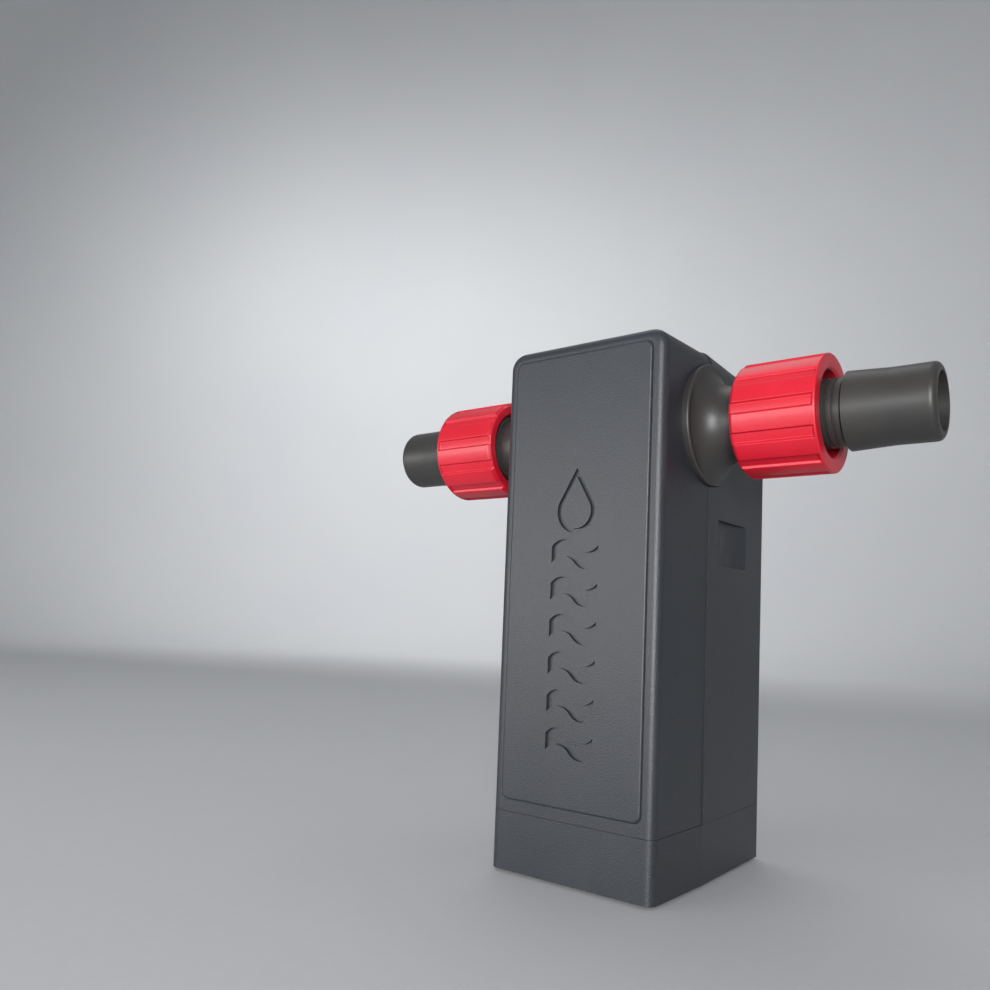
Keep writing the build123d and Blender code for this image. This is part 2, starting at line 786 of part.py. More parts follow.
def thread_ridge(side, start, turns, radius, height):
    """A right-hand helical ridge about a nozzle axis; a negative height points inward."""
    sink = math.copysign(thread_sink, height)
    root, crest = thread_root_width / 2, thread_crest_width / 2
    with BuildPart() as ridge:
        with BuildLine() as coil:
            Helix(thread_pitch, turns * thread_pitch, radius, (side * start, seam_y, port_z), (side, 0, 0))
        foot = coil.line @ 0
        outward = Vector(0, foot.Y - seam_y, foot.Z - port_z).normalized()
        section_plane = Plane(origin=foot, x_dir=(side, 0, 0), z_dir=Vector(side, 0, 0).cross(outward))
        with BuildSketch(section_plane):
            Polygon((-root, -sink), (root, -sink), (crest, height), (-crest, height), align=None)
        sweep(path=coil.line, is_frenet=True)
    return ridge.part


def nozzle(side):
    """A hose nozzle: spigot with a seal groove, collar, keyed flange, threaded neck, rings and tip."""
    plane = port_profile_plane(side)
    first_ring = shoulder_place - barb_count * barb_pitch
    with BuildPart() as body:
        with BuildSketch(plane):
            with BuildLine():
                spigot = Polyline(
                    (spigot_end, nozzle_bore),
                    (spigot_end, spigot_radius),
                    (seal_groove[0], spigot_radius),
                    (seal_groove[0], seal_groove_radius),
                    (seal_groove[1], seal_groove_radius),
                    (seal_groove[1], spigot_radius),
                    (collar_back, spigot_radius),
                    (collar_back, collar_radius),
                    (collar_front, collar_radius),
                    (collar_front, neck_radius),
                    (flange_back + 0.5, neck_radius),
                    (flange_back + 0.5, neck_radius + flare_rise),
                    (flange_face, neck_radius + flare_rise),
                )
                flare = RadiusArc(spigot @ 1, (flange_face + flare_reach, neck_radius), -flare_radius)
                neck = Polyline(flare @ 1, (first_ring - neck_taper, neck_radius), (first_ring, barb_low))
                places = [first_ring + number * barb_pitch for number in range(barb_count)]
                rings = [(x + dx, r) for x in places for dx, r in (
                    (barb_vee / 2, barb_low), (barb_vee, barb_high), (barb_pitch - barb_vee, barb_high),
                    (barb_pitch - barb_vee / 2, barb_low))]
                band = Polyline(
                    neck @ 1,
                    *rings,
                    (shoulder_place + barb_vee, shoulder_radius),
                    (shoulder_place + shoulder_taper, tip_radius),
                )
                tip = Line(band @ 1, (tip_end - tip_rounding, tip_radius))
                nose = RadiusArc(tip @ 1, (tip_end, tip_radius - tip_rounding), tip_rounding)
                Polyline(nose @ 1, (tip_end, nozzle_bore), spigot @ 0)
            make_face()
        revolve(axis=port_axis(side))
        with BuildSketch(port_cross_plane(side, flange_back)):
            with Locations((flange_rise, 0)):
                Circle(flange_radius)
            Circle(nozzle_bore + 1, mode=Mode.SUBTRACT)
        extrude(amount=flange_face - flange_back)
        circles = body.edges().filter_by(GeomType.CIRCLE)
        rim = circles.filter_by(lambda e: abs(e.radius - flange_radius) < 0.01)
        fillet(rim.sort_by(lambda e: abs(e.center().X))[-1], flange_rounding)
        add(thread_ridge(side, thread_start, thread_turns, neck_radius, thread_height))
    return body.part


def lock_nut(side, seat):
    """A ribbed nut on a nozzle, its inner end at a distance from the middle of the housing."""
    ring_seat = ring_offset - ring_play
    ring_seat_end = ring_offset + ring_length + ring_play
    with BuildPart() as body:
        add(lathe(
            [
                (seat, nut_bore + 0.9),
                (seat, nut_radius - nut_mouth_chamfer),
                (seat + nut_mouth_chamfer, nut_radius),
                (seat + nut_length - 0.5, nut_radius),
                (seat + nut_length, nut_radius - 0.5),
                (seat + nut_length, nut_bore + 0.6),
                (seat + nut_length - 0.6, nut_bore),
                (seat + ring_seat_end, nut_bore),
                (seat + ring_seat_end, ring_outer + ring_play),
                (seat + ring_seat, ring_outer + ring_play),
                (seat + ring_seat, nut_bore),
                (seat + 0.9, nut_bore),
            ],
            port_profile_plane(side),
            port_axis(side),
        ))
        groove_width = 2 * nut_radius * math.sin(math.radians(groove_angle / 2))
        with BuildSketch(port_cross_plane(side, seat)):
            with PolarLocations(nut_radius + 1 - groove_depth, lobe_count, start_angle=-side * groove_phase):
                RectangleRounded(2.0, groove_width, 0.5)
        extrude(amount=nut_length - groove_rim, mode=Mode.SUBTRACT)
        helix_start = seat + nut_thread_offset
        add(thread_ridge(side, helix_start, nut_thread_turns, nut_bore, -nut_thread_height))
    return body.part


def clamp_ring(side, seat):
    """A split grip ring with three inner teeth, carried inside a lock nut."""
    start = seat + ring_offset
    tooth = ring_length / 3
    inner = [(start + (number + part) * tooth, r) for number in range(3) for part, r in (
        (0, ring_inner + 0.3), (0.8, ring_inner - 0.2), (0.98, ring_inner + 0.3))]
    with BuildPart() as body:
        with BuildSketch(port_profile_plane(side)):
            with BuildLine():
                Polyline(*inner, (start + ring_length, ring_inner + 0.3), (start + ring_length, ring_outer),
                         (start, ring_outer), close=True)
            make_face()
        revolve(axis=port_axis(side), revolution_arc=360 - ring_gap)
    return body.part


for port_name, port_side, port_seat in (("inlet", -1, inlet_seat), ("outlet", 1, nut_seat)):
    export(nozzle(port_side), f"{port_name}_nozzle")
    export(lock_nut(port_side, port_seat), f"{port_name}_lock_nut")
    export(clamp_ring(port_side, port_seat), f"{port_name}_clamp_ring")
    seal_at = port_cross_plane(port_side, port_seal_place)
    seal_major = seal_groove_radius + port_seal_minor + 0.02
    export(torus_ring(seal_at, seal_major, port_seal_minor), f"{port_name}_oring")

# ---------------------------------------------------------------- lamp module
lamp_plane = Plane(origin=(0, seam_y, 0), x_dir=(1, 0, 0), z_dir=(0, -1, 0))
lid_foot = foot_height + lid_gap
plug_top = 8.0
plug_groove = (5.6, 7.4)
plug_groove_radius = 10.15
plug_seal_minor = 0.8
stem_wall = 1.8
ferrule_foot = socket_top + ferrule_gap
leg_foot = ferrule_foot + 3.2
contact_low = 8.6
contact_high = 13.0
contact_outer = 8.6
contact_width = 4.0
holder_inner = 11.9
holder_outer = 14.2
blade_inner = 8.95
blade_thick = 0.5
blade_low = 9.0
contact_holder_top = 11.0

with BuildPart() as lamp_cap:
    with BuildSketch(Plane.XY.offset(lid_foot)):
        with Locations(lamp_axis):
            RectangleRounded(lid_length, lid_depth, lid_corner)
    extrude(amount=lid_thick)
    add(ring(plug_radius, stem_radius - stem_wall, lid_foot + 1, plug_top))
    add(ring(stem_radius, stem_radius - stem_wall, lid_foot + 1, socket_foot))
    add(ring(plug_radius + 1, plug_groove_radius, *plug_groove), mode=Mode.SUBTRACT)
    # finger pull in the underside
    with BuildSketch(Plane.XY):
        with Locations(lamp_axis):
            SlotOverall(16, 7)
    extrude(amount=lid_foot + 1.2, mode=Mode.SUBTRACT)
    with BuildSketch(Plane.XY):
        with Locations(*lid_screw_places):
            Circle(head_radius + 0.2)
    extrude(amount=lid_foot + lid_head_sink, mode=Mode.SUBTRACT)
    with BuildSketch(Plane.XY):
        with Locations(*lid_screw_places):
            Circle(screw_radius + screw_clear)
    extrude(amount=lid_foot + lid_thick, mode=Mode.SUBTRACT)
export(lamp_cap.part, "lamp_cap")

with BuildPart() as lamp_cap_screws:
    add(screws(lid_screw_plane, lid_screw_places, lid_screw_length, head_radius))
export(lamp_cap_screws.part, "lamp_cap_screws")

with BuildPart() as lamp_cap_seal:
    plug_seal_plane = Plane(origin=(0, seam_y, sum(plug_groove) / 2))
    add(torus_ring(plug_seal_plane, plug_groove_radius + plug_seal_minor + 0.02, plug_seal_minor))
export(lamp_cap_seal.part, "lamp_cap_seal")

with BuildPart() as lamp_contacts:
    with BuildSketch(Plane.XY.offset(contact_low)):
        with Locations(lamp_axis):
            Circle(contact_outer)
            Circle(stem_radius, mode=Mode.SUBTRACT)
            Rectangle(4 * stem_radius, contact_width, mode=Mode.INTERSECT)
    extrude(amount=contact_high - contact_low)
export(lamp_contacts.part, "lamp_contacts")

with BuildPart() as lamp_socket:
    add(ring(socket_radius, 0.6, socket_foot, socket_top))
    with BuildSketch(Plane.XY.offset(socket_foot)):
        with Locations(lamp_axis):
            Circle(1)
    extrude(amount=socket_top - socket_foot)
    with BuildSketch(Plane.XY.offset(socket_top)):
        with Locations(lamp_axis):
            with Locations((-lamp_leg_pitch / 2, 0), (lamp_leg_pitch / 2, 0)):
                Circle(pin_radius + 0.08)
    extrude(amount=-(pin_length + 0.5), mode=Mode.SUBTRACT)
export(lamp_socket.part, "lamp_socket")

leg_places = [(-lamp_leg_pitch / 2, seam_y), (lamp_leg_pitch / 2, seam_y)]
lamp_bend = lamp_leg_pitch / 2
bend_start = lamp_top - lamp_leg_radius - lamp_bend

with BuildPart() as lamp_ferrule:
    with BuildSketch(Plane.XY.offset(ferrule_foot)):
        with Locations(lamp_axis):
            Circle(ferrule_radius)
    extrude(amount=ferrule_height)
    fillet(lamp_ferrule.edges().group_by(Axis.Z)[-1], 1.0)
    with BuildSketch(Plane.XY.offset(leg_foot)):
        with Locations(*leg_places):
            Circle(lamp_leg_radius + 0.05)
    extrude(amount=ferrule_height, mode=Mode.SUBTRACT)
    with BuildSketch(Plane.XY.offset(ferrule_foot)):
        with Locations(*leg_places):
            Circle(pin_radius)
    extrude(amount=leg_foot - ferrule_foot, mode=Mode.SUBTRACT)
export(lamp_ferrule.part, "lamp_base")

with BuildPart() as lamp_pins:
    with BuildSketch(Plane.XY.offset(ferrule_foot - pin_length)):
        with Locations(*leg_places):
            Circle(pin_radius)
    extrude(amount=pin_length + leg_foot - ferrule_foot)
export(lamp_pins.part, "lamp_pins")

with BuildPart() as lamp_tube:
    with BuildLine(lamp_plane):
        left_leg = Line((-lamp_bend, leg_foot), (-lamp_bend, bend_start))
        bend = ThreePointArc(left_leg @ 1, (0, bend_start + lamp_bend), (lamp_bend, bend_start))
        Line(bend @ 1, (lamp_bend, leg_foot))
    with BuildSketch(Plane.XY.offset(leg_foot)):
        with Locations((-lamp_bend, seam_y)):
            Circle(lamp_leg_radius)
            Circle(lamp_leg_radius - lamp_leg_wall, mode=Mode.SUBTRACT)
    sweep()
export(lamp_tube.part, "lamp_tube")

with BuildPart() as lamp_electrodes:
    with BuildSketch(Plane.XY.offset(leg_foot + 0.5)):
        with Locations(*leg_places):
            Circle(1.0)
    extrude(amount=7)
export(lamp_electrodes.part, "lamp_electrodes")

with BuildPart() as contact_holder:
    add(ring(holder_outer, holder_inner, base_inner_floor, contact_holder_top))
export(contact_holder.part, "contact_holder")

with BuildPart() as contact_blades:
    blade_top = contact_holder_top + blade_thick
    with BuildSketch(side_plane(seam_y + contact_width / 2)):
        for side in (-1, 1):
            with BuildLine():
                Polyline(
                    (side * blade_inner, blade_low),
                    (side * blade_inner, blade_top),
                    (side * holder_outer, blade_top),
                    (side * holder_outer, contact_holder_top),
                    (side * (blade_inner + blade_thick), contact_holder_top),
                    (side * (blade_inner + blade_thick), blade_low),
                    close=True,
                )
            make_face()
    extrude(amount=contact_width)
export(contact_blades.part, "contact_blades")

# ---------------------------------------------------------------- driver board
board_back_y = board_y + board_thick
lead_radius = 0.6
transformer_z = 60.0

with BuildPart() as driver_board:
    with BuildSketch(side_plane(board_back_y)):
        with Locations((0, (board_foot + board_top) / 2)):
            RectangleRounded(board_width, board_top - board_foot, 1.0)
        with Locations(*board_screw_places):
            Circle(screw_radius + pilot_clear, mode=Mode.SUBTRACT)
    extrude(amount=board_thick)
export(driver_board.part, "driver_board")

with BuildPart() as board_screws:
    tips_to_rear = Plane(origin=(0, board_y, 0), x_dir=(-1, 0, 0), z_dir=(0, 1, 0))
    add(screws(tips_to_rear, board_screw_places, board_thick + board_screw_length - 0.5, head_radius))
export(board_screws.part, "board_screws")

with BuildPart() as transformer_core:
    with BuildSketch(side_plane(board_y - 1.5)):
        with Locations((0, transformer_z)):
            Rectangle(13, 15)
            with Locations((-3.6, 0), (3.6, 0)):
                Rectangle(2.8, 10, mode=Mode.SUBTRACT)
    extrude(amount=4)
export(transformer_core.part, "transformer_core")

with BuildPart() as transformer_winding:
    with BuildSketch(side_plane(board_y)):
        with Locations((0, transformer_z)):
            RectangleRounded(9.6, 9.6, 1.0)
    extrude(amount=7)
    with BuildSketch(side_plane(board_y - 1.45)):
        with Locations((0, transformer_z)):
            Rectangle(4.5, 12)
    extrude(amount=4.1, mode=Mode.SUBTRACT)
export(transformer_winding.part, "transformer_winding")

with BuildPart() as capacitors:
    with BuildSketch(side_plane(board_y)):
        with Locations((-10.5, 42), (10.5, 42)):
            Circle(3.1)
    extrude(amount=7)
    fillet(capacitors.edges().group_by(Axis.Y)[0], 0.5)
export(capacitors.part, "capacitors")

with BuildPart() as ballast_capacitor:
    with BuildSketch(side_plane(board_y)):
        with Locations((0, 42)):
            RectangleRounded(10, 5.5, 0.8)
    extrude(amount=7)
export(ballast_capacitor.part, "ballast_capacitor")

with BuildPart() as transistors:
    with BuildSketch(side_plane(board_y)):
        with Locations((-10.5, 54), (10.5, 54)):
            Circle(2.2)
            with Locations((0, -2.4)):
                Rectangle(5, 2.4, mode=Mode.SUBTRACT)
    extrude(amount=4.8)
export(transistors.part, "transistors")


def lead_pair(paths, bend_radius):
    """Round leads swept along straight runs joined by arcs, one solid for each path."""
    with BuildPart() as leads:
        for points in paths:
            with BuildLine() as route:
                FilletPolyline(*points, radius=bend_radius)
            start = Plane(origin=route.line @ 0, z_dir=route.line % 0)
            with BuildSketch(start):
                Circle(lead_radius)
            sweep(path=route.line)
    return leads.part


with BuildPart() as lamp_leads:
    lead_z = contact_holder_top + blade_thick + lead_radius
    lamp_lead_paths = [
        [
            (side * 13.5, seam_y + 1, lead_z),
            (side * 13.5, 3, lead_z),
            (side * 9, 12, lead_z),
            (side * 9, board_y, lead_z),
        ]
        for side in (-1, 1)
    ]
    add(lead_pair(lamp_lead_paths, 5.0))
export(lamp_leads.part, "lamp_leads")

with BuildPart() as power_jack:
    with BuildSketch(side_plane(rear_y - 0.2)):
        with Locations((jack_x, jack_z)):
            Circle(jack_radius)
    extrude(amount=rear_y - 0.2 - jack_inner_end)
    with BuildSketch(side_plane(rear_y - base_wall)):
        with Locations((jack_x, jack_z)):
            Circle(jack_shoulder)
    extrude(amount=1.6)
    with BuildSketch(side_plane(rear_y)):
        with Locations((jack_x, jack_z)):
            Circle(jack_bore)
            Circle(1.0, mode=Mode.SUBTRACT)
    extrude(amount=6.4, mode=Mode.SUBTRACT)
    with BuildSketch(side_plane(rear_y)):
        with Locations((jack_x, jack_z)):
            Circle(1.0)
    extrude(amount=6.9, mode=Mode.SUBTRACT)
export(power_jack.part, "power_jack")

with BuildPart() as jack_pin:
    with BuildSketch(side_plane(rear_y - 1.2)):
        with Locations((jack_x, jack_z)):
            Circle(1.0)
    extrude(amount=5.7)
    fillet(jack_pin.edges().group_by(Axis.Y)[-1], 0.5)
export(jack_pin.part, "jack_pin")

with BuildPart() as jack_nut:
    with BuildSketch(side_plane(rear_y - 0.4)):
        with Locations((jack_x, jack_z)):
            RegularPolygon(jack_nut_flats / 2, 6, major_radius=False)
            Circle(jack_radius + 0.02, mode=Mode.SUBTRACT)
    extrude(amount=jack_pocket_depth - 0.4)
export(jack_nut.part, "jack_nut")

with BuildPart() as power_leads:
    lead_y = board_back_y + 2.0
    power_lead_paths = [
        [(x, jack_inner_end, jack_z), (x, lead_y, jack_z), (x, lead_y, 18.0), (x, board_back_y, 18.0)]
        for x in (jack_x - 1.6, jack_x + 1.6)
    ]
    add(lead_pair(power_lead_paths, 0.9))
export(power_leads.part, "power_leads")

# ---------------------------------------------------------------- wall bracket
bracket_half = recess_half - 0.35
bracket_high = recess_high - 0.5
bracket_low = recess_low + bracket_travel + 0.6
bracket_front_y = recess_floor_y + 0.4
bracket_mid_z = (bracket_low + bracket_high) / 2
bracket_screws = [(0, bracket_mid_z - bracket_screw_span / 2), (0, bracket_mid_z + bracket_screw_span / 2)]
tab_front = rear_y - lip_cover - 0.3

with BuildPart() as wall_bracket:
    with BuildSketch(side_plane(rear_y)):
        with Locations((0, bracket_mid_z)):
            RectangleRounded(2 * bracket_half, bracket_high - bracket_low, 1.6)
    extrude(amount=rear_y - bracket_front_y)
    with BuildSketch(side_plane(tab_front)):
        with Locations(*[(0, level) for level in tab_levels]):
            Rectangle(2 * (bracket_half + tab_reach), tab_height)
    extrude(amount=tab_front - bracket_front_y)
    with BuildSketch(side_plane(rear_y)):
        with Locations(*bracket_screws):
            Circle(bracket_hole)
    extrude(amount=rear_y - bracket_front_y, mode=Mode.SUBTRACT)
    with BuildSketch(side_plane(bracket_front_y)):
        with Locations(*bracket_screws):
            Circle(bracket_hole + 2)
    extrude(amount=-2, taper=45, mode=Mode.SUBTRACT)
    with BuildSketch(side_plane(rear_y)):
        with Locations((0, bracket_mid_z)):
            SlotOverall(18, 10, rotation=90)
    extrude(amount=rear_y - bracket_front_y, mode=Mode.SUBTRACT)
export(wall_bracket.part, "wall_bracket")
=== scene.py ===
"""Looks for an in-line ultraviolet water clarifier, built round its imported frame. Metres throughout."""

import json
import math

import bpy
import numpy as np
from mathutils import Matrix, Vector


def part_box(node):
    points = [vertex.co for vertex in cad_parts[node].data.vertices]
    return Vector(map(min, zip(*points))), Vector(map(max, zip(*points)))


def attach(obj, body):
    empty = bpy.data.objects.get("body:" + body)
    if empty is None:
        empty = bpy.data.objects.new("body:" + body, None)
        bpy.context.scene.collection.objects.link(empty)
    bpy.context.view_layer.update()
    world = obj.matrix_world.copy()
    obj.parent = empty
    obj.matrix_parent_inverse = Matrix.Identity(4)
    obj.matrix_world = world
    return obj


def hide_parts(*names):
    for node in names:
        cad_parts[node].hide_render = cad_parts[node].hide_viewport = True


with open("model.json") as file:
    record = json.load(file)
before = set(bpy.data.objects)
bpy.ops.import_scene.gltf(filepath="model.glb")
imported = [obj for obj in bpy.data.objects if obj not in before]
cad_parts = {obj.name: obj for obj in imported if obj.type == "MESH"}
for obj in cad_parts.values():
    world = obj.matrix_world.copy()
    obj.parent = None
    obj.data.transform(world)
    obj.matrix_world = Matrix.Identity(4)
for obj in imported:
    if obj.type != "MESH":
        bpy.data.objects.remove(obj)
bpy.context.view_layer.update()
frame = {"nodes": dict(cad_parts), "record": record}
nodes = frame["nodes"]
MM = 0.001

# ---------------------------------------------------------------- places read from the frame
seal_low, seal_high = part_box("outlet_oring")
AXIS_Y = (seal_low[1] + seal_high[1]) / 2
AXIS_Z = (seal_low[2] + seal_high[2]) / 2

# ---------------------------------------------------------------- camera, light and floor
CAMERA_FROM_AXIS = Vector((0.1165, -0.2068, -0.0531))
CAMERA_YAW = 38.1  # degrees to the left of the wall direction
CAMERA_RISE = 4.1
CAMERA_ROLL = 2.3
FOCAL_LENGTH = 30.65  # millimetres on a 36 mm wide film
LENS_RISE = 0.066
FLOOR_FLAT = 1.5
FLOOR_BEND = 0.6
FLOOR_TOP = 2.0


def add_camera():
    """A camera in front of the housing and to its right, just below the nozzle axis, looking slightly up."""
    yaw, rise, roll = (math.radians(a) for a in (CAMERA_YAW, CAMERA_RISE, CAMERA_ROLL))
    flat = math.cos(rise)
    forward = Vector((-math.sin(yaw) * flat, math.cos(yaw) * flat, math.sin(rise)))
    level = Vector((math.cos(yaw), math.sin(yaw), 0.0))
    upright = level.cross(forward)
    right = level * math.cos(roll) + upright * math.sin(roll)
    up = upright * math.cos(roll) - level * math.sin(roll)
    data = bpy.data.cameras.new("camera")
    data.lens = FOCAL_LENGTH
    data.sensor_width = 36.0
    data.shift_y = LENS_RISE
    data.clip_start = 0.005
    camera = bpy.data.objects.new("camera", data)
    place = Vector((0.0, AXIS_Y, AXIS_Z)) + CAMERA_FROM_AXIS
    turned = Matrix((right, up, -forward)).transposed().to_4x4()
    camera.matrix_world = Matrix.Translation(place) @ turned
    bpy.context.scene.collection.objects.link(camera)
    bpy.context.scene.camera = camera


def add_soft_light(name, place, aim, size, watts, colour=(1.0, 1.0, 1.0)):
    """A rectangular soft box at a place, turned to face a point."""
    data = bpy.data.lights.new(name, "AREA")
    data.shape = "RECTANGLE"
    data.size, data.size_y = size
    data.energy = watts
    data.color = colour
    light = bpy.data.objects.new(name, data)
    light.location = place
    towards = Vector(aim) - Vector(place)
    light.rotation_euler = towards.to_track_quat("-Z", "Y").to_euler()
    bpy.context.scene.collection.objects.link(light)


def add_studio():
    """Soft boxes, a dim pale surround and a pale floor that curves up all round the object.

    Three boxes light the object and one lights the wall behind it. The floor is a surface of revolution:
    a flat disc, a quarter-circle bend and an upright wall.
    """
    centre = (0.0, 0.0, 0.08)
    add_soft_light("key_strip", (0.42, -0.75, 0.16), centre, (0.26, 0.34), 8.0)
    add_soft_light("left_box", (-0.40, -0.86, 0.15), centre, (0.85, 0.26), 4.6)
    add_soft_light("top_box", (-0.25, 0.25, 0.95), centre, (0.50, 0.50), 1.0)
    add_soft_light("wall_wash", (-0.85, 0.75, 0.95), (-1.15, 1.75, 0.45), (0.90, 0.60), 9.0)
    world = bpy.data.worlds.new("studio")
    world.use_nodes = True
    background = world.node_tree.nodes["Background"]
    background.inputs["Color"].default_value = (0.94, 0.96, 1.0, 1.0)
    background.inputs["Strength"].default_value = 0.34
    bpy.context.scene.world = world

    turn = np.linspace(0.0, math.pi / 2, 20)
    bent = FLOOR_FLAT + FLOOR_BEND * np.sin(turn)
    reach = np.concatenate(([0.002, 0.5, 1.0], bent, [FLOOR_FLAT + FLOOR_BEND]))
    climb = FLOOR_BEND - FLOOR_BEND * np.cos(turn)
    rise = np.concatenate(([0.0, 0.0, 0.0], climb, [FLOOR_TOP]))
    angle = np.linspace(0.0, 2 * math.pi, 96, endpoint=False)
    x, y = reach * np.cos(angle)[:, None], reach * np.sin(angle)[:, None]
    grid = np.stack((x, y, np.broadcast_to(rise, x.shape)), axis=-1)
    floor = surface("studio_floor", grid, wrap_u=True)
    floor.data.materials.append(floor_paint())


# ---------------------------------------------------------------- surfaces
def surface(name, grid, wrap_u=False, wrap_v=False):
    """A smooth mesh on a grid of points, grid[u, v] = (x, y, z).

    A wrapped direction joins its last row to its first.
    """
    rows, columns = grid.shape[:2]
    index = np.arange(rows * columns).reshape(rows, columns)
    if wrap_u:
        index = np.concatenate((index, index[:1]), axis=0)
    if wrap_v:
        index = np.concatenate((index, index[:, :1]), axis=1)
    corners = (index[:-1, :-1], index[1:, :-1], index[1:, 1:], index[:-1, 1:])
    quads = np.stack(corners, axis=-1).reshape(-1, 4)
    mesh = bpy.data.meshes.new(name)
    mesh.from_pydata(grid.reshape(-1, 3).tolist(), [], quads.tolist())
    mesh.polygons.foreach_set("use_smooth", np.full(len(quads), True))
    mesh.update()
    piece = bpy.data.objects.new(name, mesh)
    bpy.context.scene.collection.objects.link(piece)
    return piece


CORNER_STEPS = 6  # points round each corner of a profile


def smooth_step(x, low, high):
    """0 below low, 1 above high, and an S-shaped cubic between them."""
    t = np.clip((x - low) / (high - low), 0.0, 1.0)
    return t * t * (3.0 - 2.0 * t)


def round_profile(corners, radii):
    """A closed outline through corner points whose corners are rounded by quadratic curves.

    At each corner the curve leaves the incoming side at the radius' distance from the corner and joins the
    outgoing side at the same distance; between them it is the parabola pulled towards the corner.
    """
    corners = np.asarray(corners, float)
    before = np.roll(corners, 1, axis=0) - corners
    after = np.roll(corners, -1, axis=0) - corners
    reach = np.asarray(radii, float)[:, None]
    start = corners + before / np.linalg.norm(before, axis=1, keepdims=True) * reach
    end = corners + after / np.linalg.norm(after, axis=1, keepdims=True) * reach
    t = np.linspace(0.0, 1.0, CORNER_STEPS)[None, :, None]
    pulled = 2 * t * (1 - t) * corners[:, None]
    curve = (1 - t) ** 2 * start[:, None] + pulled + t ** 2 * end[:, None]
    return curve.reshape(-1, 2)


# ---------------------------------------------------------------- node helpers
MIX_FACTOR, MIX_FROM, MIX_TO, MIX_COLOUR = 0, 6, 7, 2  # sockets of a Mix node set to colours
FINE_RELIEF = 0.2 * MM  # full height of the bumps
TRACK_HEIGHT = 0.04 * MM


def put(tree, kind, links=(), fixed=(), **settings):
    """A node with its settings and socket values.

    A setting named in_X fills input X. Each link is an output and the input that it feeds, and each fixed
    pair is an input's place and its value.
    """
    node = tree.nodes.new(kind)
    for key, value in settings.items():
        if key.startswith("in_"):
            node.inputs[key[3:].replace("_", " ")].default_value = value
        else:
            setattr(node, key, value)
    for place, value in fixed:
        node.inputs[place].default_value = value
    for source, target in links:
        tree.links.new(source, node.inputs[target])
    return node


def uneven_gloss(group, noise, given, out):
    """Roughness that wanders about its given value by the given spread, as the noise does."""
    offset = put(group, "ShaderNodeMath", [(noise.outputs["Fac"], 0)], [(1, 0.5)], operation="SUBTRACT")
    shift = put(
        group,
        "ShaderNodeMath",
        [(offset.outputs[0], 0), (given["Roughness Spread"], 1), (given["Roughness"], 2)],
        operation="MULTIPLY_ADD",
    )
    group.links.new(shift.outputs[0], out["Roughness"])


def group_frame(name, inputs, outputs):
    """An empty shader group with its sockets. Inputs are (name, type, default); outputs are (name, type)."""
    group = bpy.data.node_groups.new(name, "ShaderNodeTree")
    for label, kind, default in inputs:
        socket_type = f"NodeSocket{kind}"
        socket = group.interface.new_socket(label, in_out="INPUT", socket_type=socket_type)
        socket.default_value = default
    for label, kind in outputs:
        group.interface.new_socket(label, in_out="OUTPUT", socket_type=f"NodeSocket{kind}")
    given = group.nodes.new("NodeGroupInput").outputs
    out = group.nodes.new("NodeGroupOutput").inputs
    return group, given, out


def moulded_skin_group():
    """Moulded plastic or rubber: cloudy colour, uneven gloss and a fine spark-eroded grain."""
    group, given, out = group_frame(
        "moulded_skin",
        [
            ("Colour", "Color", (0.1, 0.1, 0.1, 1.0)),
            ("Cloud Colour", "Color", (0.12, 0.12, 0.12, 1.0)),
            ("Cloud Scale", "Float", 60.0),
            ("Roughness", "Float", 0.5),
            ("Roughness Spread", "Float", 0.08),
            ("Grain Scale", "Float", 2200.0),
            ("Grain Strength", "Float", 0.3),
            ("Grain Tint", "Float", 0.1),
        ],
        [("Colour", "Color"), ("Roughness", "Float"), ("Normal", "Vector")],
    )
    place = put(group, "ShaderNodeTexCoord").outputs["Object"]
    cloud = put(
        group,
        "ShaderNodeTexNoise",
        [(place, "Vector"), (given["Cloud Scale"], "Scale")],
        in_Detail=4.0,
    )
    grain = put(
        group,
        "ShaderNodeTexNoise",
        [(place, "Vector"), (given["Grain Scale"], "Scale")],
        in_Detail=2.0,
    )
    soft = put(
        group,
        "ShaderNodeMapRange",
        [(cloud.outputs["Fac"], "Value")],
        in_From_Min=0.3,
        in_From_Max=0.7,
    )
    blend = put(
        group,
        "ShaderNodeMix",
        [
            (soft.outputs["Result"], MIX_FACTOR),
            (given["Colour"], MIX_FROM),
            (given["Cloud Colour"], MIX_TO),
        ],
        data_type="RGBA",
    )
    low = put(group, "ShaderNodeMath", [(given["Grain Tint"], 1)], [(0, 1.0)], operation="SUBTRACT")
    high = put(group, "ShaderNodeMath", [(given["Grain Tint"], 1)], [(0, 1.0)], operation="ADD")
    speck = put(
        group,
        "ShaderNodeMapRange",
        [(grain.outputs["Fac"], "Value"), (low.outputs[0], "To Min"), (high.outputs[0], "To Max")],
        in_From_Min=0.3,
        in_From_Max=0.7,
    )
    tinted = put(
        group,
        "ShaderNodeVectorMath",
        [(blend.outputs[MIX_COLOUR], 0), (speck.outputs["Result"], "Scale")],
        operation="SCALE",
    )
    group.links.new(tinted.outputs[0], out["Colour"])
    uneven_gloss(group, cloud, given, out)
    bump = put(
        group,
        "ShaderNodeBump",
        [(grain.outputs["Fac"], "Height"), (given["Grain Strength"], "Strength")],
        in_Distance=FINE_RELIEF,
    )
    group.links.new(bump.outputs["Normal"], out["Normal"])
    return group


